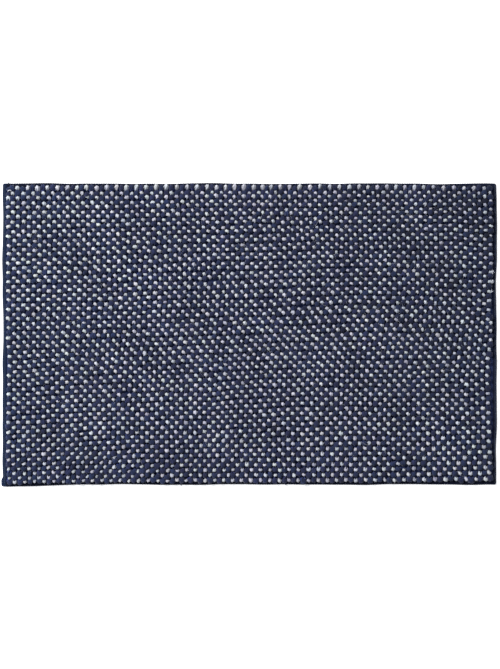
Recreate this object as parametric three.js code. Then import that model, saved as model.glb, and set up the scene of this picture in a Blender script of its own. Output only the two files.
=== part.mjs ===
// Bath mat: a woven cotton base cloth with an anti-slip backing under it, hemmed at both ends,
// with a dense selvedge along both long sides and rows of thick yarn loops standing on top.
// Millimetres. +X runs along the long side, +Y across the mat, +Z up.
// The origin is on the floor under the middle of the mat.

import * as THREE from 'three';

// Driving dimensions
const MAT_LENGTH = 800;
const MAT_WIDTH = 488;
const MAT_THICKNESS = 14;
const GAP = 0.3; // clearance between pieces that touch

const BACKING_THICKNESS = 1.0;
const CLOTH_THICKNESS = 1.2;

const HEM_FLAP = 0.9; // thickness of the folded hem cloth
const HEM_TOP_WIDTH = 6.5; // what shows beside the pile
const HEM_UNDER_WIDTH = 14; // what is turned under the mat
const HEM_EDGE_RADIUS = 0.8;

const SELVEDGE_WIDTH = 2.5;
const SELVEDGE_HEIGHT = 2.2;

const THREAD_DIAMETER = 0.8;
const STITCH_INSET = 2.6; // from the hem's outer fold to the stitch line

const LOOP_ROWS = 64;
const ROW_CROWN = 3.4; // height of the rounded top of a row of loops
const ROW_STATIONS = 6; // straight stretches that a curved row is made of

// The loop rows aren't straight: away from the two long sides they are bowed and askew.
const ROW_LIFT = 8.0;
const ROW_SKEW = 6.5;
const ROW_BOW = 4.5;

// Levels, from the floor up
const CLOTH_BOTTOM = BACKING_THICKNESS + GAP;
const CLOTH_TOP = CLOTH_BOTTOM + CLOTH_THICKNESS;
const PILE_BOTTOM = CLOTH_TOP + GAP;
const HEM_HEIGHT = PILE_BOTTOM + HEM_FLAP;

// Places in plan
const HALF_LENGTH = MAT_LENGTH / 2;
const HALF_WIDTH = MAT_WIDTH / 2;
const PILE_HALF_LENGTH = HALF_LENGTH - HEM_TOP_WIDTH - GAP;
const PILE_HALF_WIDTH = HALF_WIDTH - SELVEDGE_WIDTH - GAP;
const ROW_PITCH = (2 * PILE_HALF_WIDTH) / LOOP_ROWS;

const MATERIALS = {
  backing: makeMaterial(0xb9b6ac, 0.8),
  baseCloth: makeMaterial(0x1c2236, 0.95),
  hemCloth: makeMaterial(0x20283f, 0.95),
  thread: makeMaterial(0x3a4966, 0.85),
  pileYarn: makeMaterial(0x3d4566, 0.95),
};

function makeMaterial(color, roughness) {
  return new THREE.MeshStandardMaterial({ color, roughness, metalness: 0 });
}

function makeMesh(name, geometry, material) {
  const mesh = new THREE.Mesh(geometry, material);
  mesh.name = name;
  return mesh;
}

function makeOutline(points) {
  return new THREE.Shape(points.map(([x, y]) => new THREE.Vector2(x, y)));
}

// Extrudes a section drawn in (Y, Z) along X, centred on the mat.
function extrudeAlongX(section, length, steps) {
  const geometry = new THREE.ExtrudeGeometry(section, { depth: length, steps, bevelEnabled: false });
  geometry.translate(0, 0, -length / 2);
  const turn = new THREE.Matrix4().makeBasis(
    new THREE.Vector3(0, 1, 0),
    new THREE.Vector3(0, 0, 1),
    new THREE.Vector3(1, 0, 0),
  );
  geometry.applyMatrix4(turn);
  return geometry;
}

// Extrudes a section drawn in (X, Z) along Y, centred on the mat.
function extrudeAlongY(section, length) {
  const geometry = new THREE.ExtrudeGeometry(section, { depth: length, steps: 1, bevelEnabled: false });
  geometry.translate(0, 0, -length / 2);
  geometry.rotateX(Math.PI / 2);
  return geometry;
}

// A flat layer between two levels
function makeLayer(halfLength, halfWidth, bottom, top) {
  const geometry = new THREE.BoxGeometry(2 * halfLength, 2 * halfWidth, top - bottom);
  geometry.translate(0, 0, (bottom + top) / 2);
  return geometry;
}

function makeBacking() {
  const halfLength = HALF_LENGTH - HEM_UNDER_WIDTH - GAP;
  return makeMesh(
    'anti_slip_backing',
    makeLayer(halfLength, PILE_HALF_WIDTH, 0, BACKING_THICKNESS),
    MATERIALS.backing,
  );
}

function makeBaseCloth() {
  const halfLength = HALF_LENGTH - HEM_FLAP - GAP;
  return makeMesh(
    'base_cloth',
    makeLayer(halfLength, PILE_HALF_WIDTH, CLOTH_BOTTOM, CLOTH_TOP),
    MATERIALS.baseCloth,
  );
}

// The hem wraps the cut end of the base cloth: a short flap on top and a longer one underneath.
function hemSection() {
  const outer = HALF_LENGTH;
  const slotEnd = outer - HEM_FLAP;
  const section = new THREE.Shape();
  section.moveTo(outer - HEM_UNDER_WIDTH, 0);
  section.lineTo(outer - HEM_EDGE_RADIUS, 0);
  section.quadraticCurveTo(outer, 0, outer, HEM_EDGE_RADIUS);
  section.lineTo(outer, HEM_HEIGHT - HEM_EDGE_RADIUS);
  section.quadraticCurveTo(outer, HEM_HEIGHT, outer - HEM_EDGE_RADIUS, HEM_HEIGHT);
  section.lineTo(outer - HEM_TOP_WIDTH, HEM_HEIGHT);
  section.lineTo(outer - HEM_TOP_WIDTH, PILE_BOTTOM);
  section.lineTo(slotEnd, PILE_BOTTOM);
  section.lineTo(slotEnd, BACKING_THICKNESS);
  section.lineTo(outer - HEM_UNDER_WIDTH, BACKING_THICKNESS);
  return section;
}

// The needle thread of the seam, lying on the hem
function stitchSection() {
  const radius = THREAD_DIAMETER / 2;
  const centreX = HALF_LENGTH - STITCH_INSET;
  const centreZ = HEM_HEIGHT + GAP + radius;
  const sides = 6;
  const points = [];
  for (let side = 0; side < sides; side += 1) {
    const angle = (2 * Math.PI * side) / sides;
    points.push([centreX + radius * Math.cos(angle), centreZ + radius * Math.sin(angle)]);
  }
  return makeOutline(points);
}

function makeEnd(side, turn) {
  const hem = extrudeAlongY(hemSection(), MAT_WIDTH);
  const stitch = extrudeAlongY(stitchSection(), MAT_WIDTH - 2 * THREAD_DIAMETER);
  const end = new THREE.Group();
  end.add(makeMesh(`hem_${side}`, hem, MATERIALS.hemCloth));
  end.add(makeMesh(`hem_stitching_${side}`, stitch, MATERIALS.thread));
  end.rotation.z = turn;
  return end;
}

// A selvedge: the dense edge of the base cloth along a long side, rounded on its outside.
// It is at the level of the cloth, above the under flaps of the hems.
function makeSelvedge(side, turn) {
  const inner = HALF_WIDTH - SELVEDGE_WIDTH;
  const chamfer = SELVEDGE_HEIGHT / 4;
  const bottom = CLOTH_BOTTOM;
  const top = bottom + SELVEDGE_HEIGHT;
  const section = makeOutline([
    [inner, bottom],
    [HALF_WIDTH - chamfer, bottom],
    [HALF_WIDTH, bottom + chamfer],
    [HALF_WIDTH, top - chamfer],
    [HALF_WIDTH - chamfer, top],
    [inner, top],
  ]);
  const mesh = makeMesh(
    `selvedge_${side}`,
    extrudeAlongX(section, 2 * PILE_HALF_LENGTH, 1),
    MATERIALS.hemCloth,
  );
  mesh.rotation.z = turn;
  return mesh;
}

// How far a row of loops strays towards +Y at a place on the mat
function rowDrift(x, y) {
  const along = x / PILE_HALF_LENGTH;
  const across = y / PILE_HALF_WIDTH;
  const fade = 1 - across ** 4;
  return fade * (ROW_LIFT + ROW_SKEW * along - ROW_BOW * along ** 2);
}

// The edge between two rows, or the outside of the first or last one, counted from the +Y side
function rowEdge(index) {
  return PILE_HALF_WIDTH - index * ROW_PITCH;
}

// The section of a few neighbouring rows: one rounded crown for each
function rowSection(first, count) {
  const crownSteps = 4;
  const shoulder = MAT_THICKNESS - ROW_CROWN;
  const start = rowEdge(first) - GAP / 2;
  const end = rowEdge(first + count) + GAP / 2;
  const crownWidth = (start - end) / count;
  const points = [[end, PILE_BOTTOM], [start, PILE_BOTTOM], [start, shoulder]];
  for (let row = 0; row < count; row += 1) {
    const middle = start - (row + 0.5) * crownWidth;
    for (let step = 1; step < crownSteps; step += 1) {
      const angle = (Math.PI * step) / crownSteps;
      const y = middle + (crownWidth / 2) * Math.cos(angle);
      points.push([y, shoulder + ROW_CROWN * Math.sin(angle)]);
    }
    points.push([middle - crownWidth / 2, shoulder]);
  }
  return makeOutline(points);
}

function makeRows(first, count) {
  const geometry = extrudeAlongX(rowSection(first, count), 2 * PILE_HALF_LENGTH, ROW_STATIONS);
  const position = geometry.getAttribute('position');
  for (let index = 0; index < position.count; index += 1) {
    const x = position.getX(index);
    const y = position.getY(index);
    position.setY(index, y + rowDrift(x, y));
  }
  geometry.computeVertexNormals();
  const numbers = [];
  for (let row = first; row < first + count; row += 1) {
    numbers.push(String(row + 1).padStart(2, '0'));
  }
  const name = count === 1 ? `pile_row_${numbers[0]}` : `pile_rows_${numbers.join('_')}`;
  return makeMesh(name, geometry, MATERIALS.pileYarn);
}

// Neighbouring rows lean together in twos. The first and the last row stand alone.
function makePile() {
  const pile = new THREE.Group();
  pile.add(makeRows(0, 1));
  for (let first = 1; first < LOOP_ROWS - 1; first += 2) {
    pile.add(makeRows(first, 2));
  }
  pile.add(makeRows(LOOP_ROWS - 1, 1));
  return pile;
}

const mat = new THREE.Group();
mat.add(makeBacking());
mat.add(makeBaseCloth());
mat.add(makeEnd('right', 0));
mat.add(makeEnd('left', Math.PI));
mat.add(makeSelvedge('back', 0));
mat.add(makeSelvedge('front', Math.PI));
mat.add(makePile());

export default mat;
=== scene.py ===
"""The looks of a loop-pile bath mat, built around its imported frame.

Metres, +Z up. +X runs along the long side and +Y points to the back selvedge.
"""
import math

import bpy
import numpy as np
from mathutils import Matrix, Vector


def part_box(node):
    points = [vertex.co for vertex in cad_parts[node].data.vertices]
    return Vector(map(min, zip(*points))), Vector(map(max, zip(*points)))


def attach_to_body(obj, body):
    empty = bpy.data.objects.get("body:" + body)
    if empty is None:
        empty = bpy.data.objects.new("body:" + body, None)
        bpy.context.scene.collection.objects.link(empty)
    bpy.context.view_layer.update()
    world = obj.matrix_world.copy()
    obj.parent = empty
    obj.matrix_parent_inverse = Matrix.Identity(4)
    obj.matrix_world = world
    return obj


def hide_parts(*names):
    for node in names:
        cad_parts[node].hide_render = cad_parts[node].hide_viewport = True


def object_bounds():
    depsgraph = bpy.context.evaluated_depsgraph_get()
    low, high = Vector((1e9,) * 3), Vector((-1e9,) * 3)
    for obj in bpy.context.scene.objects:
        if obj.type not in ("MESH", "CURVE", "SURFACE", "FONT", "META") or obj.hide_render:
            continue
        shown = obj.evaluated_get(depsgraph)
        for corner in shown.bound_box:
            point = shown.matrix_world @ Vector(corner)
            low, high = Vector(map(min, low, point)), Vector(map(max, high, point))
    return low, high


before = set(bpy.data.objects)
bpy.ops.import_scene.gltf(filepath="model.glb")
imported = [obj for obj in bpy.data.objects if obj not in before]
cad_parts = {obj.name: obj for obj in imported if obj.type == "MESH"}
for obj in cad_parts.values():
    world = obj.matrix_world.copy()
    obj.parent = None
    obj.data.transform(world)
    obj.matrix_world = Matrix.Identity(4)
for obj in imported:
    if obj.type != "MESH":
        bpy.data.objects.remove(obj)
cad_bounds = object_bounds()

MM = 0.001
SEED = 20

# ---------------------------------------------------------------- places taken from the frame

MAT_LOW, MAT_HIGH = (np.array(corner) for corner in cad_bounds)
HALF_LENGTH = (MAT_HIGH[0] - MAT_LOW[0]) / 2
HALF_WIDTH = (MAT_HIGH[1] - MAT_LOW[1]) / 2
CLOTH_LOW, CLOTH_HIGH = (np.array(corner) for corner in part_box("base_cloth"))
BACKING_LOW, BACKING_HIGH = (np.array(corner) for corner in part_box("anti_slip_backing"))
HEM_LOW, HEM_HIGH = (np.array(corner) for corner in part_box("hem_right"))
STITCH_LOW, STITCH_HIGH = (np.array(corner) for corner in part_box("hem_stitching_right"))
SELVEDGE_LOW, SELVEDGE_HIGH = (np.array(corner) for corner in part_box("selvedge_back"))
PILE_NODES = sorted(
    (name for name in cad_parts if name.startswith("pile_row")),
    key=lambda name: int(name.split("_")[2]),
)
PILE_HIGH = np.array(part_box(PILE_NODES[0])[1])
PILE_HALF_LENGTH = PILE_HIGH[0]
PILE_HALF_WIDTH = PILE_HIGH[1]
PILE_TOP = PILE_HIGH[2]

# ---------------------------------------------------------------- the loops

# One row of loops is this many columns long, and the colours take turns along it.
COLUMNS = 101
COLUMN_PITCH = 7.77 * MM
LOOP_HEIGHT = PILE_TOP - CLOTH_HIGH[2]

# A loop is a yarn of twisted strands, up one leg, over and down the other. For each yarn: half its
# thickness, how many times wider it is, how far its legs' middles are from the loop's, and its strands.
YARN_RADIUS = {"navy": 2.6 * MM, "white": 1.9 * MM}
YARN_FLATNESS = {"navy": 1.7, "white": 1.55}
LEG_SPREAD = {"navy": 2.2 * MM, "white": 1.4 * MM}
STRANDS = {"navy": 4, "white": 3}
STRAND_TWIST = 0.9  # turns along one loop
GROOVE_FLOOR = 0.74  # how far in a groove between strands goes, as a share of the yarn's radius

TIP_SHARE = 0.8  # how much of a loop's lean is behind its place, the rest being ahead of it
LAST_LOOP = PILE_HALF_LENGTH - 3.0 * MM  # how far out from the middle a loop's place may be
LAST_ROOT = PILE_HALF_LENGTH - 3.9 * MM  # and its root

RINGS_PER_LEG = 2
RINGS_PER_CROWN = 8
BANDS = 9  # pieces that the rows of each colour are shared among

FUZZ_PER_LOOP = 2
FUZZ_RADIUS = 0.045 * MM
FUZZ_LIMIT = PILE_TOP + 0.6 * MM  # how high a fibre may stand

# ---------------------------------------------------------------- edges and loose ends

HEM_CLOTH = 0.9 * MM  # thickness of the folded cloth
HEM_TOP_WIDTH = 6.5 * MM  # what shows beside the pile
CORNER_RADIUS = 3.0 * MM
CORNER_FLARE = 3.0 * MM  # how far the front left corner sticks out to the left
CORNER_SAG = 3.0 * MM  # and to the front
STITCH_PITCH = 3.2 * MM
STITCH_LENGTH = 0.94 * STITCH_PITCH
THREAD_RADIUS = 0.3 * MM
SELVEDGE_PITCH = 3.9 * MM  # of the weft turns
SELVEDGE_TUCK = 6.0 * MM  # how far the selvedge goes in under the loops

LOOSE_FIBRES = 420

# Each tuft at the right hem: its place along the hem, its number of fibres and how far apart they start
TUFTS = (
    (0.413 * HALF_WIDTH, 34, 0.8 * MM),
    (0.350 * HALF_WIDTH, 24, 0.7 * MM),
    (0.286 * HALF_WIDTH, 7, 0.9 * MM),
)

YARN_END_RADIUS = 0.85 * MM
# Each yarn end at a selvedge: its place along it, its side, +1 being the back, and how far it sticks out
YARN_ENDS = (
    (-391 * MM, 1, 1.9 * MM),
    (-112 * MM, -1, 1.7 * MM),
    (58 * MM, -1, 1.2 * MM),
)


def smooth_step(low, high, value):
    t = np.clip((value - low) / (high - low), 0, 1)
    return t * t * (3 - 2 * t)


def column_drift(u, v):
    """How far a column strays towards +X, with u and v from -1 to 1 over the pile."""
    side = np.tanh(5 * v)
    held = np.cos(math.pi * u / 2) * (5.2 * side + 3.5 * np.cos(math.pi * v / 2))
    free = 3.2 * u * side + 2.9 * np.sin(math.pi * v) - 1.9 * np.sin(math.pi * u) + 2.5 * u**5
    return (held + free + 0.7) * MM


def row_drift(u, v):
    """How far a row strays towards +Y from its CAD ridge."""
    held = (1.6 * np.sin(math.pi * u) + 0.5) * np.cos(math.pi * v / 2)
    ends = u**3 * (1.7 * np.tanh(5 * v) + 1.2 * np.cos(math.pi * v))
    return (held - ends - 1.2 * np.tanh(5 * v) - 1.2) * MM


def pairing(u, v):
    """How strongly neighbouring rows lean together: most in the middle, fading towards the front."""
    middle = 0.52 + 0.36 * np.exp(-(((u - 0.05) / 0.26) ** 2))
    return middle * smooth_step(-1.0, 0.15, v) * (1 - 0.4 * smooth_step(0.8, 1.0, v))


def white_fade(u, v):
    """How much lighter the off-white yarn is made than usual, as painted light: most at the back left
    corner, where the light falls.
    """
    return -0.16 * u - 0.12 * u * v + 0.04 * v - 0.03 * v**2 - 0.03


def white_fullness(u, v):
    """How thick the off-white loops are.

    They are thickest at the back left corner, and thinnest at the back right one and at the left end
    of the front edge.
    """
    front = 0.04 * np.exp(-(((v + 0.6) / 0.2) ** 2)) - 0.05 * (1 - u) * smooth_step(-0.72, -0.92, v)
    return 0.99 - 0.04 * u - 0.075 * u * v - 0.04 * v**4 + front


def white_slant(u, v):
    """Which way the off-white loops are drawn out, as an angle from +X in degrees, and how much."""
    along = 0.3 - 0.45 * u + 0.5 * u**2 + 0.9 * smooth_step(-0.6, -1.0, v)
    across = 1.6 * (smooth_step(-0.1, -0.9, v) * (1 - 0.8 * u) - 1)
    return np.degrees(np.arctan2(across, along)) / 2, np.hypot(along, across)


def ridge_edges(node):
    """The front and back edge of a CAD ridge of loops, each as a quadratic in x."""
    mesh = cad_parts[node].data
    places = np.empty(len(mesh.vertices) * 3, np.float32)
    mesh.vertices.foreach_get("co", places)
    places = places.reshape(-1, 3)
    x = np.round(places[:, 0], 4)
    stations = np.unique(x)
    front = [places[x == station, 1].min() for station in stations]
    back = [places[x == station, 1].max() for station in stations]
    return np.polyfit(stations, front, 2), np.polyfit(stations, back, 2)


def wave_field(rng, count, longest):
    """A smooth random field over the mat: a few waves in random directions."""
    angles = rng.uniform(0, 2 * math.pi, count)
    lengths = longest * rng.uniform(0.4, 1.0, count)
    phases = rng.uniform(0, 2 * math.pi, count)
    weights = rng.uniform(0.5, 1.0, count)
    weights = weights / np.sqrt((weights**2).sum() / 2)

    def field(x, y):
        total = np.zeros_like(x)
        for angle, length, phase, weight in zip(angles, lengths, phases, weights):
            along = x * math.cos(angle) + y * math.sin(angle)
            total = total + weight * np.sin(2 * math.pi * along / length + phase)
        return total

    return field


class LoopField:
    """Where every loop of the pile stands and how it is shaped, one row at a time."""

    def __init__(self, seed):
        self.rng = np.random.default_rng(seed)
        self.wander_x = wave_field(self.rng, 7, 0.35)
        self.wander_y = wave_field(self.rng, 7, 0.35)
        self.ripple_x = wave_field(self.rng, 12, 0.10)
        self.ripple_y = wave_field(self.rng, 12, 0.10)
        self.turn = wave_field(self.rng, 5, 0.25)
        self.lean_x = wave_field(self.rng, 9, 0.20)
        self.lean_y = wave_field(self.rng, 9, 0.20)
        self.shade = wave_field(self.rng, 9, 0.20)

    def row(self, number, middle, partner):
        """One row along the line y = middle(x), a quadratic, as its white and its navy loops.

        partner is +1 or -1 towards the row it leans against, or 0. Strays and leans are worked out
        in millimetres and turns in degrees. size, spread and breadth are shares of the usual ones,
        and tone and hue are what the yarn's material reads; tone also carries painted light.
        """
        rng = self.rng
        index = np.arange(COLUMNS) - COLUMNS // 2
        u = index / (COLUMNS // 2)
        y = np.polyval(middle, index * COLUMN_PITCH)
        v = y / PILE_HALF_WIDTH
        x = index * COLUMN_PITCH + column_drift(u, v)
        y = np.polyval(middle, x) + row_drift(u, v)
        inside = np.abs(x) < PILE_HALF_LENGTH + 1.5 * MM
        paired = partner * pairing(u, v)
        held = np.minimum(1, 4 * (1 - np.abs(v)))
        stray_x = 0.9 * self.wander_x(x, y) + 0.50 * self.ripple_x(x, y) + rng.normal(0, 0.15, COLUMNS)
        stray_y = 0.6 * self.wander_y(x, y) + 0.60 * self.ripple_y(x, y)
        # Rows slip sideways past each other, and the two of a pair go opposite ways.
        slip = 0.6 * np.sin(4 * u + 1.9 * number**2) - partner * (0.38 - 0.2 * smooth_step(0, -0.7, v))
        x = x + (stray_x + slip) * MM
        x = np.clip(x, -LAST_LOOP, LAST_LOOP) + rng.normal(0, 0.2, COLUMNS) * MM
        white = (index + number) % 2 == 1
        if number == 1:
            white[0] = False  # the back left corner is navy, with a stray turn of off-white yarn over it
        y = y + (held * stray_y + rng.normal(0, 1, COLUMNS) * np.where(white, 0.45, 0.9)) * MM
        y = y + paired * np.where(white, 1.0, 0.25) * MM
        # The first row hangs over the back selvedge, and the last one keeps back at its left end.
        first = smooth_step(0.955, 0.98, v)
        last = smooth_step(-0.955, -0.98, v)
        hang = np.where(white, 2.7, 1.6) * (1 - u**4)
        y = y + first * hang * MM + last * (0.1 - 0.7 * u + 0.5 * u**2) * MM

        outward = smooth_step(0.86, 1.0, v)
        inward = smooth_step(-0.35, -1.0, v)
        lean_y = 1.2 + 2.0 * outward + 1.3 * first * hang - 4.6 * inward + 0.7 * self.lean_y(x, y)
        lean_y = lean_y + rng.normal(0, 0.9, COLUMNS)
        lean_x = 0.7 * self.lean_x(x, y) + rng.normal(0, 0.7, COLUMNS)
        # Loops beside a hem stand in the pile and lean over the hem.
        root_x = np.clip(x / MM - TIP_SHARE * lean_x, -LAST_ROOT / MM, LAST_ROOT / MM)
        lean_x = (x / MM - root_x) / TIP_SHARE
        slant, stretch = white_slant(u, v)
        turn = np.where(white, slant, 0) + 14 * self.turn(x, y) + rng.normal(0, 16, COLUMNS)
        height = LOOP_HEIGHT / MM - np.where(white, 0.45, 0.28) * rng.gamma(2.0, 1.0, COLUMNS)
        height = height - 0.9 * np.maximum(-paired, 0)
        tone_and_painted_light = 0.5 + 0.1 * paired + 0.045 * self.shade(x, y)
        tone_and_painted_light = tone_and_painted_light + rng.normal(0, 1, COLUMNS) * np.where(white, 0.14, 0.10)
        # Painted light: the off-white loops are made lighter towards the back left and the navy ones
        # towards the left, the side the light comes from.
        tone_and_painted_light = tone_and_painted_light + np.where(white, white_fade(u, v) + 0.15 * first, -0.18 * u - 0.06 * u * v + 0.01)
        fullness = np.where(white, white_fullness(u, v) + 0.25 * first, 1.0)
        stretch = np.where(white, stretch, 0)
        loops = {
            "x": x,
            "y": y,
            "lean_x": lean_x * MM,
            "lean_y": lean_y * MM,
            "turn": np.radians(turn),
            "height": height * MM,
            "size": fullness + rng.normal(0, 0.09, COLUMNS),
            "spread": (fullness - 0.5 * first) * (1 + 0.13 * stretch) + rng.normal(0, 0.17, COLUMNS),
            "breadth": 1 - 0.043 * stretch,
            "twist": rng.uniform(0, 2 * math.pi, COLUMNS),
            "tone_and_painted_light": np.clip(tone_and_painted_light, 0, 1),
            "hue": rng.uniform(0, 1, COLUMNS) + 0.34 * u**2 - 0.12,
        }
        return {"white": select(loops, inside & white), "navy": select(loops, inside & ~white)}


def select(loops, chosen):
    return {key: value[chosen] for key, value in loops.items()}


def strand_section(strands):
    """The section of a yarn of round strands that touch: each side's angle and its share of the radius."""
    half = math.pi / strands
    distance = 1 / math.sin(half)  # of a strand's middle from the yarn's, in strand radii
    offset = half * np.array([-1.0, -0.62, -0.22, 0.22, 0.62])
    reach = distance * np.cos(offset) + np.sqrt(np.maximum(1 - (distance * np.sin(offset)) ** 2, 0))
    reach = np.maximum(reach / (distance + 1), GROOVE_FLOOR)
    middles = 2 * half * np.arange(strands)
    return (middles[:, None] + offset).ravel(), np.tile(reach, strands)


def loop_vertices(loops, colour):
    """Vertices of many loops at once, as an array of loop, vertex, axis, and how high each one is."""
    count = len(loops["x"])
    leg = np.linspace(0, 1, RINGS_PER_LEG + 1)[:-1]
    crown = np.linspace(0, math.pi, RINGS_PER_CROWN)
    radius = YARN_RADIUS[colour] * loops["size"]
    spread = LEG_SPREAD[colour] * loops["spread"]
    breadth = YARN_FLATNESS[colour] * loops["breadth"]
    shoulder = loops["height"] - radius - spread

    # The yarn's middle line in the plane of the loop
    across = np.concatenate([
        np.tile(-0.75 - 0.25 * leg, (count, 1)),
        np.tile(-np.cos(crown), (count, 1)),
        np.tile((0.75 + 0.25 * leg)[::-1], (count, 1)),
    ], axis=1) * spread[:, None]
    up = np.concatenate([
        leg * shoulder[:, None],
        shoulder[:, None] + np.sin(crown) * spread[:, None],
        (leg * shoulder[:, None])[:, ::-1],
    ], axis=1)
    rings = across.shape[1]
    share = up / up.max(axis=1, keepdims=True)
    cos_turn, sin_turn = np.cos(loops["turn"])[:, None], np.sin(loops["turn"])[:, None]
    bend = share**1.6 - TIP_SHARE
    middle = np.stack([
        loops["x"][:, None] + across * cos_turn + bend * loops["lean_x"][:, None],
        loops["y"][:, None] + across * sin_turn + bend * loops["lean_y"][:, None],
        CLOTH_HIGH[2] + up,
    ], axis=2)

    # Axes of each ring: one across the flat yarn and one through it
    tangent = np.gradient(middle, axis=1)
    tangent /= np.linalg.norm(tangent, axis=2, keepdims=True)
    wide = np.stack([-sin_turn, cos_turn, 0 * cos_turn], axis=2)
    wide = wide - (wide * tangent).sum(axis=2, keepdims=True) * tangent
    wide /= np.linalg.norm(wide, axis=2, keepdims=True)
    thick = np.cross(tangent, wide)

    # The sides of a ring turn with the strands, so that the grooves run along the mesh
    angle, profile = strand_section(STRANDS[colour])
    sides = len(profile)
    along = np.linspace(0, 1, rings)
    angle = angle + 2 * math.pi * STRAND_TWIST * along[:, None] + loops["twist"][:, None, None]
    swell = 0.67 + 0.42 * np.sin(math.pi * 0.72 * share)
    reach = (swell * radius[:, None])[:, :, None] * profile
    ring = (
        middle[:, :, None, :]
        + (breadth[:, None, None] * reach * np.cos(angle))[..., None] * wide[:, :, None, :]
        + (reach * np.sin(angle))[..., None] * thick[:, :, None, :]
    )
    ends = np.stack([middle[:, 0], middle[:, -1]], axis=1)
    vertices = np.concatenate([ring.reshape(count, rings * sides, 3), ends], axis=1)
    rise = np.concatenate([np.repeat(share, sides, axis=1), np.zeros((count, 2))], axis=1)
    return vertices, rise, rings, sides


def loop_faces(rings, sides):
    """Quads along the yarn and a fan at each end, for one loop, with their yarn coordinates."""
    quads = []
    quad_uvs = []
    for ring in range(rings - 1):
        for side in range(sides):
            a, b = ring * sides + side, ring * sides + (side + 1) % sides
            quads.append((a, a + sides, b + sides, b))
            u0, u1 = side / sides, (side + 1) / sides
            v0, v1 = ring / (rings - 1), (ring + 1) / (rings - 1)
            quad_uvs.append(((u0, v0), (u0, v1), (u1, v1), (u1, v0)))
    triangles = []
    triangle_uvs = []
    first_end, last_end = rings * sides, rings * sides + 1
    last_ring = (rings - 1) * sides
    for side in range(sides):
        following = (side + 1) % sides
        u = side / sides
        triangles.append((side, following, first_end))
        triangle_uvs.append(((u, 0), (u, 0), (u, 0)))
        triangles.append((last_ring + following, last_ring + side, last_end))
        triangle_uvs.append(((u, 1), (u, 1), (u, 1)))
    return (
        np.array(quads), np.array(quad_uvs, np.float32),
        np.array(triangles), np.array(triangle_uvs, np.float32),
    )


# ---------------------------------------------------------------- meshes


def make_mesh(name, vertices, faces):
    """An object from vertices and a list of face arrays, each with its own number of corners."""
    mesh = bpy.data.meshes.new(name)
    vertices = np.asarray(vertices, np.float32)
    corners = np.concatenate([face.ravel() for face in faces]).astype(np.int32)
    totals = np.concatenate([np.full(len(face), face.shape[1]) for face in faces]).astype(np.int32)
    starts = np.concatenate([[0], np.cumsum(totals)[:-1]]).astype(np.int32)
    mesh.vertices.add(len(vertices))
    mesh.vertices.foreach_set("co", vertices.ravel())
    mesh.loops.add(len(corners))
    mesh.loops.foreach_set("vertex_index", corners)
    mesh.polygons.add(len(totals))
    mesh.polygons.foreach_set("loop_start", starts)
    mesh.polygons.foreach_set("loop_total", totals)
    mesh.polygons.foreach_set("use_smooth", np.full(len(totals), True))
    mesh.update(calc_edges=True)
    mesh.validate()
    made = bpy.data.objects.new(name, mesh)
    bpy.context.scene.collection.objects.link(made)
    return made


def add_values(piece, name, values):
    """A number for each vertex, which a material reads by its name."""
    attribute = piece.data.attributes.new(name, "FLOAT", "POINT")
    attribute.data.foreach_set("value", np.asarray(values, np.float32).ravel())


def make_loops(name, colour, rows):
    """One piece holding the loops of one colour in several rows."""
    loops = {key: np.concatenate([row[key] for row in rows]) for key in rows[0]}
    vertices, rise, rings, sides = loop_vertices(loops, colour)
    count, per_loop = vertices.shape[:2]
    quads, quad_uvs, triangles, triangle_uvs = loop_faces(rings, sides)
    offset = (np.arange(count) * per_loop)[:, None, None]
    all_quads = (quads[None] + offset).reshape(-1, 4)
    all_triangles = (triangles[None] + offset).reshape(-1, 3)
    piece = make_mesh(name, vertices.reshape(-1, 3), [all_quads, all_triangles])
    uvs = np.concatenate([
        np.tile(quad_uvs.reshape(-1, 2), (count, 1)),
        np.tile(triangle_uvs.reshape(-1, 2), (count, 1)),
    ])
    layer = piece.data.uv_layers.new(name="yarn")
    layer.data.foreach_set("uv", uvs.ravel())
    add_values(piece, "rise", rise)
    add_values(piece, "tone_and_painted_light", np.repeat(loops["tone_and_painted_light"], per_loop))
    add_values(piece, "hue", np.repeat(loops["hue"], per_loop))
    return piece


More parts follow.
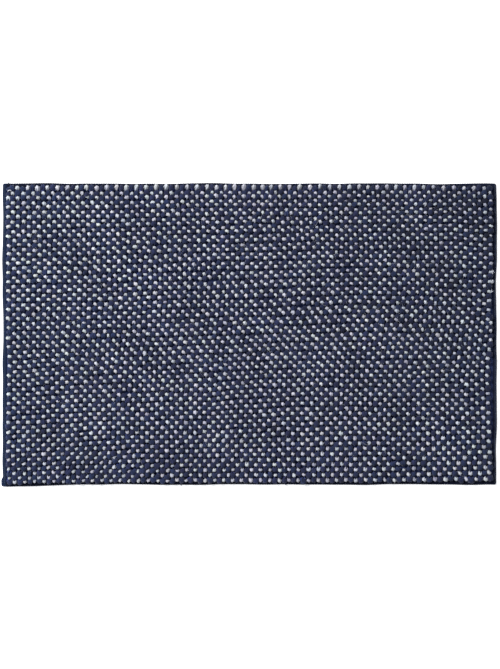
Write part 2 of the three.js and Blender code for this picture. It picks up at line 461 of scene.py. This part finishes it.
def make_fuzz(name, colour, rows, rng):
    """Short fibre ends that stand off the crowns of all loops of one colour."""
    loops = {
        key: np.repeat(np.concatenate([row[key] for row in rows]), FUZZ_PER_LOOP) for key in rows[0]
    }
    count = len(loops["x"])
    radius = YARN_RADIUS[colour] * loops["size"]
    spread = LEG_SPREAD[colour] * loops["spread"]

    # Where a fibre leaves the crown, taken as an ellipsoid, and which way it goes
    bearing = rng.uniform(0, 2 * math.pi, count)
    rise = rng.uniform(0.1, 1.0, count)
    level = np.sqrt(1 - rise**2)
    outward = np.stack([level * np.cos(bearing), level * np.sin(bearing), rise], axis=1)
    along = outward[:, 0] * (spread + radius)
    across = outward[:, 1] * radius * YARN_FLATNESS[colour] * loops["breadth"]
    cos_turn, sin_turn = np.cos(loops["turn"]), np.sin(loops["turn"])
    start = np.stack([
        loops["x"] + (1 - TIP_SHARE) * loops["lean_x"] + 0.9 * (along * cos_turn - across * sin_turn),
        loops["y"] + (1 - TIP_SHARE) * loops["lean_y"] + 0.9 * (along * sin_turn + across * cos_turn),
        CLOTH_HIGH[2] + loops["height"] - radius + 0.9 * radius * rise,
    ], axis=1)
    aside = np.cross(outward, rng.normal(0, 1, (count, 3)))
    aside /= np.linalg.norm(aside, axis=1, keepdims=True)
    third = np.cross(outward, aside)

    rings, sides = 4, 3
    share = np.linspace(0, 1, rings)[None, :, None]
    length = rng.uniform(0.9, 2.6, count)[:, None, None] * MM
    curl = rng.uniform(0.3, 1.2, count)[:, None, None]
    middle = start[:, None] + length * (share * 0.7 * outward[:, None] + curl * share**2 * aside[:, None])
    middle[:, :, 2] = np.minimum(middle[:, :, 2], FUZZ_LIMIT)
    angle = 2 * math.pi * np.arange(sides)[None, None, :, None] / sides
    thickness = (FUZZ_RADIUS * (1 - 0.6 * share))[..., None]
    ring = middle[:, :, None] + thickness * (
        np.cos(angle) * third[:, None, None] + np.sin(angle) * (aside - 0.5 * outward)[:, None, None]
    )
    ends = np.stack([middle[:, 0], middle[:, -1]], axis=1)
    vertices = np.concatenate([ring.reshape(count, rings * sides, 3), ends], axis=1)
    quads, _, triangles, _ = loop_faces(rings, sides)
    offset = (np.arange(count) * vertices.shape[1])[:, None, None]
    faces = [(quads[None] + offset).reshape(-1, 4), (triangles[None] + offset).reshape(-1, 3)]
    return make_mesh(name, vertices.reshape(-1, 3), faces)


# ---------------------------------------------------------------- materials


class Nodes:
    """A short way to write a material's nodes."""

    def __init__(self, name):
        self.material = bpy.data.materials.new(name)
        self.material.use_nodes = True
        self.tree = self.material.node_tree
        self.shader = self.tree.nodes["Principled BSDF"]

    def add(self, kind, inputs=None, **settings):
        made = self.tree.nodes.new("ShaderNode" + kind)
        for key, value in settings.items():
            setattr(made, key, value)
        for key, value in (inputs or {}).items():
            self.put(made.inputs[key], value)
        return made

    def put(self, socket, value):
        if isinstance(value, bpy.types.NodeSocket):
            self.tree.links.new(value, socket)
        else:
            socket.default_value = value

    def math(self, operation, first, second=0.0, clamp=False):
        made = self.add("Math", {0: first, 1: second}, operation=operation, use_clamp=clamp)
        return made.outputs[0]

    def mix(self, factor, first, second, blend="MIX"):
        made = self.add("Mix", data_type="RGBA", blend_type=blend)
        self.put(made.inputs["Factor"], factor)
        self.put(made.inputs[6], first)
        self.put(made.inputs[7], second)
        return made.outputs[2]

    def value(self, name):
        return self.add("Attribute", attribute_name=name).outputs["Fac"]

    def noise(self, vector, scale, detail=2.0, roughness=0.5):
        made = self.add("TexNoise", {
            "Vector": vector, "Scale": scale, "Detail": detail, "Roughness": roughness,
        })
        return made.outputs["Fac"]

    def bump(self, height, distance, strength=1.0):
        made = self.add("Bump", {"Height": height, "Distance": distance, "Strength": strength})
        self.put(self.shader.inputs["Normal"], made.outputs["Normal"])

    def finish(self, colour, roughness, sheen=0.0, sheen_roughness=0.5, specular=0.25):
        self.put(self.shader.inputs["Base Color"], colour)
        self.put(self.shader.inputs["Roughness"], roughness)
        self.shader.inputs["Sheen Weight"].default_value = sheen
        self.shader.inputs["Sheen Roughness"].default_value = sheen_roughness
        self.shader.inputs["Specular IOR Level"].default_value = specular
        return self.material


def yarn_material(name, dark, light, tint, cast, root, mottle, sheen):
    """Thick plied cotton.

    A loop's tone, which also carries painted light, takes it from dark to light. Its hue, with patches
    along the yarn, takes it towards tint, and makes it up to cast bluer or less blue. root multiplies the
    colour down among the loops as painted light and shade: above 1 it paints light bounced into the gaps,
    below 1 painted shade, and its larger blue share a painted bluish reflection. mottle is how uneven the
    dye is.
    """
    nodes = Nodes(name)
    yarn = nodes.add("UVMap", uv_map="yarn").outputs["UV"]
    tone_and_painted_light, hue, rise = nodes.value("tone_and_painted_light"), nodes.value("hue"), nodes.value("rise")
    shift = nodes.add("CombineXYZ", {"Z": nodes.math("MULTIPLY", hue, 90.0)}).outputs[0]
    # Yarn coordinates in millimetres: round the yarn and along it
    scaled = nodes.add("VectorMath", {0: yarn, 1: (15.0, 26.0, 1.0)}, operation="MULTIPLY")
    skewed = nodes.add("Mapping", {
        "Vector": scaled.outputs[0], "Rotation": (0, 0, math.radians(8)), "Scale": (3.2, 0.5, 1),
    })
    fibre_place = nodes.add("VectorMath", {0: skewed.outputs[0], 1: shift}, operation="ADD")
    fibres = nodes.noise(fibre_place.outputs[0], 1.0, 3.0, 0.6)
    clump_place = nodes.add("VectorMath", {0: scaled.outputs[0], 1: shift}, operation="ADD")
    clumps = nodes.noise(clump_place.outputs[0], 0.45, 2.0)

    colour = nodes.mix(tone_and_painted_light, dark, light)
    patches = nodes.noise(clump_place.outputs[0], 0.8, 2.0)
    tinting = nodes.math("ADD", nodes.math("MULTIPLY", hue, 0.5), nodes.math("MULTIPLY", patches, 1.6))
    tint_amount = nodes.add("MapRange", {"Value": tinting, "From Min": 0.80, "From Max": 1.30})
    colour = nodes.mix(1.0, colour, nodes.mix(tint_amount.outputs[0], (1, 1, 1, 1), tint), "MULTIPLY")
    even_spread = nodes.math("FRACT", nodes.math("MULTIPLY", hue, 7.0))
    bluer = nodes.add("MapRange", {"Value": even_spread, "To Min": 1 - cast, "To Max": 1 + cast})
    fibre_shade = nodes.add("MapRange", {
        "Value": fibres, "From Min": 0.3, "From Max": 0.7, "To Min": 0.80, "To Max": 1.14,
    })
    dye = nodes.add("MapRange", {
        "Value": clumps, "From Min": 0.3, "From Max": 0.7, "To Min": 1 - mottle, "To Max": 1 + mottle,
    })
    shade = nodes.math("MULTIPLY", fibre_shade.outputs[0], dye.outputs[0])
    # Painted light and shade among the loops: root multiplies the colour at the bottom of each loop,
    # fading out towards its crown.
    crown = nodes.add("MapRange", {
        "Value": rise, "From Min": 0.15, "From Max": 0.85,
    }, interpolation_type="SMOOTHSTEP")
    colour = nodes.mix(1.0, colour, nodes.mix(crown.outputs[0], root, (1, 1, 1, 1)), "MULTIPLY")
    blue = nodes.math("MULTIPLY", shade, bluer.outputs[0])
    shading = nodes.add("CombineColor", {"Red": shade, "Green": shade, "Blue": blue}).outputs[0]
    colour = nodes.mix(1.0, colour, shading, "MULTIPLY")
    height = nodes.math("ADD", nodes.math("MULTIPLY", fibres, 0.7), nodes.math("MULTIPLY", clumps, 0.5))
    nodes.bump(height, 0.35 * MM, 0.8)
    return nodes.finish(colour, 0.92, sheen, 0.45)


def cloth_material(name, dark, light, pitch, sheen=0.05):
    """Plain-woven cotton in object coordinates, with uneven dye and a faint sheen."""
    nodes = Nodes(name)
    place = nodes.add("TexCoord").outputs["Object"]
    parts = nodes.add("SeparateXYZ", {0: place})
    turn = 2 * math.pi / pitch
    along = nodes.math("SINE", nodes.math("MULTIPLY", parts.outputs[0], turn))
    across = nodes.math("SINE", nodes.math("MULTIPLY", parts.outputs[1], turn))
    weave = nodes.math("ADD", nodes.math("MULTIPLY", nodes.math("MULTIPLY", along, across), 0.5), 0.5)
    fine = nodes.noise(place, 2500.0, 2.0)
    broad = nodes.noise(place, 60.0, 3.0)
    woven, dyed = nodes.math("MULTIPLY", weave, 0.45), nodes.math("MULTIPLY", broad, 0.6)
    mixing = nodes.math("ADD", woven, dyed, clamp=True)
    colour = nodes.mix(mixing, dark, light)
    height = nodes.math("ADD", weave, nodes.math("MULTIPLY", fine, 0.5))
    nodes.bump(height, 0.25 * MM, 0.9)
    return nodes.finish(colour, 0.9, sheen, 0.5, 0.15)


def fibre_material(name, dark, light):
    """Loose cotton fibre, lighter in some places than in others."""
    nodes = Nodes(name)
    fibre_tone = nodes.noise(nodes.add("TexCoord").outputs["Object"], 450.0, 2.0)
    return nodes.finish(nodes.mix(fibre_tone, dark, light), 0.9, 0.1)


def thread_material():
    """Spun sewing thread, a little glossier than the cloth."""
    nodes = Nodes("stitch_thread")
    place = nodes.add("TexCoord").outputs["Object"]
    fine = nodes.noise(place, 1800.0, 2.0)
    colour = nodes.mix(fine, (0.020, 0.034, 0.062, 1), (0.060, 0.085, 0.130, 1))
    nodes.bump(fine, 0.08 * MM, 0.7)
    return nodes.finish(colour, 0.7, 0.2)


def backing_material():
    """A matte latex coat, with the weave of the cloth showing through."""
    nodes = Nodes("latex_backing")
    place = nodes.add("TexCoord").outputs["Object"]
    broad = nodes.noise(place, 35.0, 4.0)
    fine = nodes.noise(place, 900.0, 3.0)
    colour = nodes.mix(broad, (0.50, 0.48, 0.43, 1), (0.66, 0.64, 0.59, 1))
    nodes.bump(fine, 0.15 * MM, 0.6)
    roughness = nodes.add("MapRange", {"Value": broad, "To Min": 0.6, "To Max": 0.8})
    return nodes.finish(colour, roughness.outputs[0])


# ---------------------------------------------------------------- flat pieces and edges


def edge_wobble(rng, size, longest=0.25):
    """A gentle wander of an edge along its length, in metres."""
    phases = rng.uniform(0, 2 * math.pi, 4)
    lengths = longest / np.array([1, 1.7, 2.9, 4.6])
    weights = np.array([1.0, 0.7, 0.5, 0.3])

    def wobble(along):
        total = np.zeros_like(along)
        for phase, length, weight in zip(phases, lengths, weights):
            total = total + weight * np.sin(2 * math.pi * along / length + phase)
        return total * size / weights.sum()

    return wobble


def corner_sag(x):
    """How far the front edge hangs out near the front left corner."""
    return CORNER_SAG * smooth_step(-HALF_LENGTH + 150 * MM, -HALF_LENGTH + 10 * MM, x)


def slab(name, low, high, columns, rows, relief):
    """A closed slab whose two faces are grids, each moved along Z by relief(x, y, face)."""
    x, y = np.meshgrid(
        np.linspace(low[0], high[0], columns + 1), np.linspace(low[1], high[1], rows + 1)
    )
    x, y = x.ravel(), y.ravel()
    top = np.stack([x, y, high[2] + relief(x, y, 1)], axis=1)
    bottom = np.stack([x, y, low[2] + relief(x, y, -1)], axis=1)
    width = columns + 1
    across, up = np.meshgrid(np.arange(columns), np.arange(rows))
    a = (up * width + across).ravel()
    top_faces = np.stack([a, a + 1, a + width + 1, a + width], axis=1)
    bottom_faces = top_faces[:, ::-1] + len(x)
    rim = np.concatenate([
        np.arange(columns),
        columns + width * np.arange(rows),
        width * rows + columns - np.arange(columns),
        width * (rows - np.arange(rows)),
    ])
    after = np.roll(rim, -1)
    walls = np.stack([rim, rim + len(x), after + len(x), after], axis=1)
    return make_mesh(name, np.concatenate([top, bottom]), [top_faces, bottom_faces, walls])


def loft(name, sections):
    """A solid through a row of sections with the same number of points each."""
    sections = np.asarray(sections)
    stations, points = sections.shape[:2]
    station, point = np.meshgrid(np.arange(stations - 1), np.arange(points), indexing="ij")
    following = (point + 1) % points
    a, b = station * points + point, station * points + following
    sides = np.stack([a, b, b + points, a + points], axis=2).reshape(-1, 4)
    first = np.arange(points)[::-1][None]
    last = ((stations - 1) * points + np.arange(points))[None]
    return make_mesh(name, sections.reshape(-1, 3), [sides, first, last])


def make_backing():
    """The latex coat, with the dimples of the weave on its underside."""
    pitch = 3.9 * MM
    depth = 0.08 * MM

    def relief(x, y, face):
        dimple = np.sin(2 * math.pi * x / pitch) * np.sin(2 * math.pi * y / pitch)
        return depth * dimple * (face < 0) + depth * (face < 0)

    return slab("latex_backing", BACKING_LOW, BACKING_HIGH, 200, 124, relief)


def make_base_cloth():
    """The ground that holds the loops, which ripples at about their pitch."""
    pitch = 7.8 * MM
    height = 0.12 * MM

    def relief(x, y, face):
        return height * np.sin(2 * math.pi * x / pitch) * np.sin(2 * math.pi * y / pitch)

    return slab("woven_base_cloth", CLOTH_LOW, CLOTH_HIGH, 208, 128, relief)


def folded_hem_section():
    """The folded cloth of the right hem in (x, z): a C of even thickness, open to the inside."""
    half = HEM_CLOTH / 2
    top, bottom = HEM_HIGH[2] - half, HEM_LOW[2] + half
    radius = (top - bottom) / 2
    centre_x, centre_z = HEM_HIGH[0] - half - radius, (top + bottom) / 2
    flap = HEM_HIGH[0] - HEM_TOP_WIDTH
    middle = [(x, top) for x in np.linspace(flap, centre_x, 8, endpoint=False)]
    for angle in np.linspace(math.pi / 2, -math.pi / 2, 9):
        middle.append((centre_x + radius * math.cos(angle), centre_z + radius * math.sin(angle)))
    middle += [(x, bottom) for x in np.linspace(centre_x, HEM_LOW[0], 9)[1:]]
    middle = np.array(middle)
    tangent = np.gradient(middle, axis=0)
    tangent /= np.linalg.norm(tangent, axis=1, keepdims=True)
    normal = np.stack([-tangent[:, 1], tangent[:, 0]], axis=1)
    return np.concatenate([middle + half * normal, (middle - half * normal)[::-1]])


def make_hem(name, side, wobble):
    """A folded hem with puckers along its seam. side is +1 for the right end and -1 for the left."""
    corner = CORNER_RADIUS
    stations = np.concatenate([
        -HALF_WIDTH + corner * (1 - np.cos(np.linspace(0, math.pi / 2, 7))),
        np.linspace(-HALF_WIDTH + corner, HALF_WIDTH - corner, 450)[1:-1],
        HALF_WIDTH - corner * (1 - np.cos(np.linspace(math.pi / 2, 0, 7))),
    ])
    section = folded_hem_section()
    seam_x = (STITCH_LOW[0] + STITCH_HIGH[0]) / 2
    sections = []
    for y in stations:
        flare = CORNER_FLARE * smooth_step(-HALF_WIDTH + 16 * MM, -HALF_WIDTH + 9 * MM, y) * (side < 0)
        sag = corner_sag(-HALF_LENGTH) * smooth_step(-HALF_WIDTH + 40 * MM, -HALF_WIDTH, y) * (side < 0)
        inset = max(0.0, corner - (HALF_WIDTH - abs(y)))
        rounding = corner - math.sqrt(max(corner**2 - inset**2, 0.0))
        reach = (section[:, 0] - HEM_LOW[0]) / (HEM_HIGH[0] - HEM_LOW[0])
        x = section[:, 0] + reach * (wobble(np.array([y]))[0] + flare - rounding)
        on_top = section[:, 1] > HEM_HIGH[2] * 0.6
        pull = np.exp(-((section[:, 0] - seam_x) / (0.7 * MM)) ** 2)
        pucker = 0.22 + 0.08 * math.cos(2 * math.pi * y / STITCH_PITCH)
        z = section[:, 1] - on_top * pull * pucker * MM
        puff = np.sin(2 * math.pi * y / (23 * MM)) + np.sin(2 * math.pi * y / (9.1 * MM) + 1)
        z = z + on_top * (0.10 * MM) * puff
        sections.append(np.stack([side * x, np.full_like(x, y - sag), z], axis=1))
    sections = np.array(sections)
    if side > 0:
        sections = sections[:, ::-1]
    return loft(name, sections)


def tube(path, radius, sides):
    """Vertices and faces of a closed tube along a short path."""
    path = np.asarray(path)
    tangent = np.gradient(path, axis=0)
    tangent /= np.linalg.norm(tangent, axis=1, keepdims=True)
    upright = abs(tangent[:, 2]).max() >= 0.9
    helper = np.array([1.0, 0.0, 0.0]) if upright else np.array([0.0, 0.0, 1.0])
    first = np.cross(tangent, helper)
    first /= np.linalg.norm(first, axis=1, keepdims=True)
    second = np.cross(tangent, first)
    angle = np.linspace(0, 2 * math.pi, sides, endpoint=False)
    radius = np.broadcast_to(radius, len(path))[:, None, None]
    ring = path[:, None] + radius * (
        np.cos(angle)[None, :, None] * first[:, None] + np.sin(angle)[None, :, None] * second[:, None]
    )
    vertices = np.concatenate([ring.reshape(-1, 3), path[:1], path[-1:]])
    quads, _, triangles, _ = loop_faces(len(path), sides)
    return vertices, quads, triangles


def plied_yarn(path, radius, strands, turns):
    """Tubes for the strands of a thin yarn, wound round its middle line."""
    share = np.linspace(0, 1, len(path))
    tangent = np.gradient(path, axis=0)
    first = np.cross(tangent, (0.3, 0.2, 1.0))
    first /= np.linalg.norm(first, axis=1, keepdims=True)
    second = np.cross(tangent, first)
    second /= np.linalg.norm(second, axis=1, keepdims=True)
    radius = np.broadcast_to(radius, len(path))
    tubes = []
    for strand in range(strands):
        angle = 2 * math.pi * (turns * share + strand / strands)
        aside = np.cos(angle)[:, None] * first + np.sin(angle)[:, None] * second
        tubes.append(tube(path + 0.5 * radius[:, None] * aside, 0.55 * radius, 8))
    return tubes


def make_tubes(name, tubes):
    """One object from many closed tubes."""
    vertices, quads, triangles = [], [], []
    total = 0
    for places, four, three in tubes:
        vertices.append(places)
        quads.append(four + total)
        triangles.append(three + total)
        total += len(places)
    return make_mesh(name, np.concatenate(vertices), [np.concatenate(quads), np.concatenate(triangles)])


def make_stitching(name, side, rng, wobble):
    """The seam's stitches, each a short arch of thread."""
    seam_x = (STITCH_LOW[0] + STITCH_HIGH[0]) / 2
    surface = HEM_HIGH[2] - 0.1 * MM
    tubes = []
    for y in np.arange(-HALF_WIDTH + 2 * MM, HALF_WIDTH - 4 * MM, STITCH_PITCH):
        share = np.linspace(0, 1, 7)
        slant = (0.25 + rng.normal(0, 0.06)) * MM
        x = seam_x + 0.7 * wobble(np.array([y]))[0] + slant * (share - 0.5) + rng.normal(0, 0.05) * MM
        z = surface + (0.42 * np.sin(math.pi * share) ** 0.6 - 0.25) * MM
        path = np.stack([side * x, y + share * STITCH_LENGTH, z], axis=1)
        tubes.append(tube(path, THREAD_RADIUS * (0.75 + 0.25 * np.sin(math.pi * share)), 8))
    return make_tubes(name, tubes)


def make_selvedge(name, side, wobble):
    """A bead of tight weft turns along a long side. side is +1 at the back and -1 at the front."""
    stations = np.linspace(-PILE_HALF_LENGTH - 1 * MM, PILE_HALF_LENGTH + 1 * MM, 1200)
    centre_y = (SELVEDGE_LOW[1] + SELVEDGE_HIGH[1]) / 2 - 0.5 * MM
    centre_z = (SELVEDGE_LOW[2] + SELVEDGE_HIGH[2]) / 2 - 0.3 * MM
    angle = np.linspace(0, 2 * math.pi, 12, endpoint=False)
    half_width = (SELVEDGE_HIGH[1] - SELVEDGE_LOW[1]) / 2 + 0.5 * MM
    half_height = (SELVEDGE_HIGH[2] - SELVEDGE_LOW[2]) / 2
    sections = []
    for x in stations:
        turn = abs(math.sin(math.pi * x / SELVEDGE_PITCH)) ** 0.7
        swell = 0.78 + 0.24 * turn
        reach = np.where(np.cos(angle) > 0, half_width * swell, SELVEDGE_TUCK) * np.cos(angle)
        y = centre_y + wobble(np.array([x]))[0] + reach
        if side < 0:
            y = y + corner_sag(x)
        z = centre_z + 1.1 * half_height * swell * np.sin(angle)
        slant = 0.5 * MM * np.sin(angle)
        sections.append(np.stack([np.full_like(y, x) + slant, side * y, z], axis=1))
    sections = np.array(sections)
    if side < 0:
        sections = sections[:, ::-1]
    return loft(name, sections)


def fibre_path(rng, start, heading, length, bend, low, high):
    """A wavering line over the tops of the loops, from start on, whose heading turns by bend."""
    share = np.linspace(0, 1, 8)
    headings = heading + bend * share
    step = length / (len(share) - 1)
    x = start[0] + np.concatenate([[0], np.cumsum(np.cos(headings[1:]) * step)])
    y = start[1] + np.concatenate([[0], np.cumsum(np.sin(headings[1:]) * step)])
    wave = 0.5 + 0.5 * np.sin(2 * math.pi * (rng.uniform(0.6, 1.6) * share + rng.uniform(0, 1)))
    return np.stack([x, y, low + (high - low) * wave], axis=1)


def make_loose_fibres(name, rng):
    """Fine off-white fibres that lie on the pile."""
    tubes = []
    for _ in range(LOOSE_FIBRES):
        start = (rng.uniform(-0.96, 0.95) * PILE_HALF_LENGTH, rng.uniform(-0.94, 0.94) * PILE_HALF_WIDTH)
        heading = rng.normal(math.radians(-45), 0.7)
        length = rng.uniform(5, 15) * MM
        path = fibre_path(rng, start, heading, length, rng.normal(0, 0.9), PILE_TOP - 3.5 * MM, PILE_TOP)
        tubes.append(tube(path, rng.uniform(0.05, 0.085) * MM, 4))
    return make_tubes(name, tubes)


def make_wisps(name, rng):
    """Tufts of off-white fibre that have caught on the last loops beside the right hem."""
    tubes = []
    for y, fibres, scatter in TUFTS:
        for _ in range(fibres):
            start = (PILE_HALF_LENGTH - 1.5 * MM + rng.normal(0, scatter), y + rng.normal(0, scatter))
            heading = rng.normal(math.radians(-45), 1.2)
            length = rng.uniform(1.8, 3.6) * MM
            low = PILE_TOP - rng.uniform(1.5, 4.0) * MM
            path = fibre_path(rng, start, heading, length, rng.normal(0, 2.0), low, low + 1.5 * MM)
            tubes.append(tube(path, rng.uniform(0.18, 0.36) * MM, 6))
    return make_tubes(name, tubes)


def make_stray_turn(name):
    """One turn of off-white yarn that has slipped over the navy loop at the back left corner."""
    middle_x, middle_y = -PILE_HALF_LENGTH + 5.0 * MM, PILE_HALF_WIDTH - 10.6 * MM
    half_width, half_depth, height = 2.7 * MM, 2.0 * MM, 3.0 * MM
    angle = np.linspace(math.radians(200), math.radians(-20), 33)
    rise = np.sin(np.linspace(0, math.pi, 33))
    path = np.stack([
        middle_x + half_width * np.cos(angle),
        middle_y + half_depth * np.sin(angle),
        PILE_TOP - 3.4 * MM + height * rise**0.5,
    ], axis=1)
    return make_tubes(name, plied_yarn(path, (0.55 + 0.35 * rise) * MM, 3, 1.6))


def make_yarn_ends(name):
    """Short navy ends that stick out of the selvedges."""
    hidden = 3.0 * MM
    share = np.sin(np.linspace(0, math.pi / 2, 25))
    radius = YARN_END_RADIUS * np.sqrt(np.maximum(1 - share**8, 0.02))
    tubes = []
    for x, side, reach in YARN_ENDS:
        path = np.stack([
            x + 1.4 * MM * share**2,
            side * (HALF_WIDTH - hidden + (reach + hidden) * share),
            SELVEDGE_HIGH[2] * (1 - 0.25 * share**2),
        ], axis=1)
        tubes += plied_yarn(path, radius, 3, 1.2)
    return make_tubes(name, tubes)


# ---------------------------------------------------------------- assembly


def attach(piece, material, slot, *nodes):
    """Gives a piece its material, lets it ride on the mat and stand for its CAD nodes. slot is not used.
    """
    piece.data.materials.append(material)
    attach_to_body(piece, "root")
    if nodes:
        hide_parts(*nodes)
    return piece


def make_pile():
    """The loops of both colours in bands of rows, and the fuzz on them."""
    # root is painted light on the navy loops, lightening and blueing their lower parts for light bounced
    # into the gaps, and painted shade on the off-white ones, darkening their lower parts with a bluish
    # cast.
    navy = yarn_material(
        "navy_yarn", dark=(0.0044, 0.0053, 0.0180, 1), light=(0.0217, 0.0255, 0.0768, 1),
        tint=(0.74, 1.13, 1.07, 1), cast=0.04, root=(5.2, 5.2, 7.6, 1), mottle=0.46, sheen=0.12,
    )
    white = yarn_material(
        "white_yarn", dark=(0.250, 0.240, 0.302, 1), light=(0.606, 0.582, 0.632, 1),
        tint=(0.97, 1.10, 1.03, 1), cast=0.06, root=(0.88, 0.91, 1.16, 1), mottle=0.10, sheen=0.1,
    )
    field = LoopField(SEED)
    pieces = []
    all_rows = []
    for band in np.array_split(PILE_NODES, BANDS):
        nodes = [str(node) for node in band]
        rows = []
        numbers = []
        for node in nodes:
            in_node = [int(part) for part in node.split("_")[2:]]
            front, back = ridge_edges(node)
            for order, number in enumerate(in_node):
                share = (order + 0.5) / len(in_node)
                partner = (-1, 1)[order] if len(in_node) == 2 else 0
                rows.append(field.row(number, back + (front - back) * share, partner))
            numbers += in_node
        all_rows += rows
        label = f"{numbers[0]:02d}_{numbers[-1]:02d}"
        for colour, material in (("navy", navy), ("white", white)):
            piece = make_loops(f"{colour}_loops_{label}", colour, [row[colour] for row in rows])
            stands_for = nodes if colour == "navy" else []
            pieces.append(attach(piece, material, f"{colour}_yarn", *stands_for))
    rng = np.random.default_rng(SEED + 2)
    fibres = {
        "navy": fibre_material("navy_fuzz", (0.012, 0.016, 0.046, 1), (0.034, 0.046, 0.118, 1)),
        "white": fibre_material("white_fuzz", (0.42, 0.43, 0.47, 1), (0.70, 0.70, 0.76, 1)),
    }
    for colour, material in fibres.items():
        fuzz = make_fuzz(f"{colour}_fuzz", colour, [row[colour] for row in all_rows], rng)
        pieces.append(attach(fuzz, material, f"{colour}_yarn"))
    return pieces


def make_edges():
    """Hems, stitches, selvedges and whatever sticks out or has come loose."""
    rng = np.random.default_rng(SEED + 1)
    # hem_cloth has the cloth's own colour; the darker copy after it is painted shade, for the right hem
    # away from the light and for the selvedges under the loops.
    hem_cloth = cloth_material("hem_cloth", (0.005, 0.010, 0.030, 1), (0.012, 0.024, 0.064, 1), 1.3 * MM)
    shaded_hem_cloth = cloth_material(
        "painted_shade_hem_cloth", (0.0025, 0.004, 0.014, 1), (0.006, 0.009, 0.026, 1), 1.3 * MM
    )
    thread = thread_material()
    pieces = []
    for name, side in (("left", -1), ("right", 1)):
        wobble = edge_wobble(rng, 1.3 * MM)
        hem = make_hem(f"folded_hem_{name}", side, wobble)
        # The left hem faces the light; the right one takes the copy with painted shade.
        pieces.append(attach(hem, hem_cloth if side < 0 else shaded_hem_cloth, "edge_cloth", f"hem_{name}"))
        stitching = make_stitching(f"stitches_{name}", side, rng, wobble)
        pieces.append(attach(stitching, thread, "stitch_thread", f"hem_stitching_{name}"))
    for name, side in (("front", -1), ("back", 1)):
        wobble = edge_wobble(rng, 1.0 * MM)
        selvedge = make_selvedge(f"woven_selvedge_{name}", side, wobble)
        # The selvedges take the copy with painted shade.
        pieces.append(attach(selvedge, shaded_hem_cloth, "edge_cloth", f"selvedge_{name}"))
    ends = make_yarn_ends("yarn_ends")
    end_material = fibre_material("yarn_end", (0.007, 0.011, 0.030, 1), (0.020, 0.028, 0.072, 1))
    pieces.append(attach(ends, end_material, "navy_yarn"))
    fibre = fibre_material("loose_fibre", (0.36, 0.37, 0.42, 1), (0.66, 0.67, 0.72, 1))
    pieces.append(attach(make_wisps("hem_wisps", rng), fibre, "white_yarn"))
    pieces.append(attach(make_stray_turn("stray_turn"), fibre, "white_yarn"))
    pieces.append(attach(make_loose_fibres("loose_fibres", rng), fibre, "white_yarn"))
    return pieces


def make_stage():
    """A plain floor that is a clear white, and a soft even room."""
    size = 30.0
    floor = slab("floor", (-size, -size, -0.02), (size, size, 0.0), 1, 1, lambda x, y, face: 0 * x)
    nodes = Nodes("floor")
    nodes.shader.inputs["Emission Color"].default_value = (1, 1, 1, 1)
    nodes.shader.inputs["Emission Strength"].default_value = 0.5
    floor.data.materials.append(nodes.finish((0.9, 0.9, 0.9, 1), 0.9))
    world = bpy.data.worlds.new("room")
    bpy.context.scene.world = world
    world.use_nodes = True
    world.node_tree.nodes["Background"].inputs["Color"].default_value = (0.89, 0.95, 1.04, 1)
    world.node_tree.nodes["Background"].inputs["Strength"].default_value = 0.45


def make_sun(name, towards, width, strength):
    """Even light from one direction. width is the angle that the source is seen under."""
    light = bpy.data.lights.new(name, "SUN")
    light.angle = width
    light.energy = strength
    made = bpy.data.objects.new(name, light)
    made.rotation_euler = Vector(towards).to_track_quat("Z", "Y").to_euler()
    bpy.context.scene.collection.objects.link(made)


def make_camera():
    """Straight above the mat, which fills most of the picture's width."""
    picture_width, picture_height = 500, 669
    margin = 1.0122  # how much wider the view is than the mat
    view_width = 2 * HALF_LENGTH * margin
    view_height = view_width * picture_height / picture_width
    distance = 6.0
    camera = bpy.data.cameras.new("camera")
    camera.sensor_width = 36.0
    camera.lens = camera.sensor_width * distance / view_height
    camera.clip_end = 100.0
    made = bpy.data.objects.new("camera", camera)
    made.location = (0.6 * MM, -0.8 * MM, distance + HEM_HIGH[2])
    bpy.context.scene.collection.objects.link(made)
    bpy.context.scene.camera = made


make_camera()
make_stage()
make_sun("key", (-1.7, 1.3, 2.2), math.radians(29), 4.26)
bpy.context.scene.view_settings.view_transform = "Standard"

backing = attach(make_backing(), backing_material(), "backing", "anti_slip_backing")
# The base cloth is painted much lighter and bluer than the navy yarn, standing for light bounced down into
# the gaps between the loops.
base = attach(
    make_base_cloth(),
    cloth_material("base_cloth", (0.024, 0.034, 0.098, 1), (0.042, 0.060, 0.160, 1), 1.9 * MM),
    "base_cloth",
    "base_cloth",
)
on_cloth = make_edges() + make_pile()
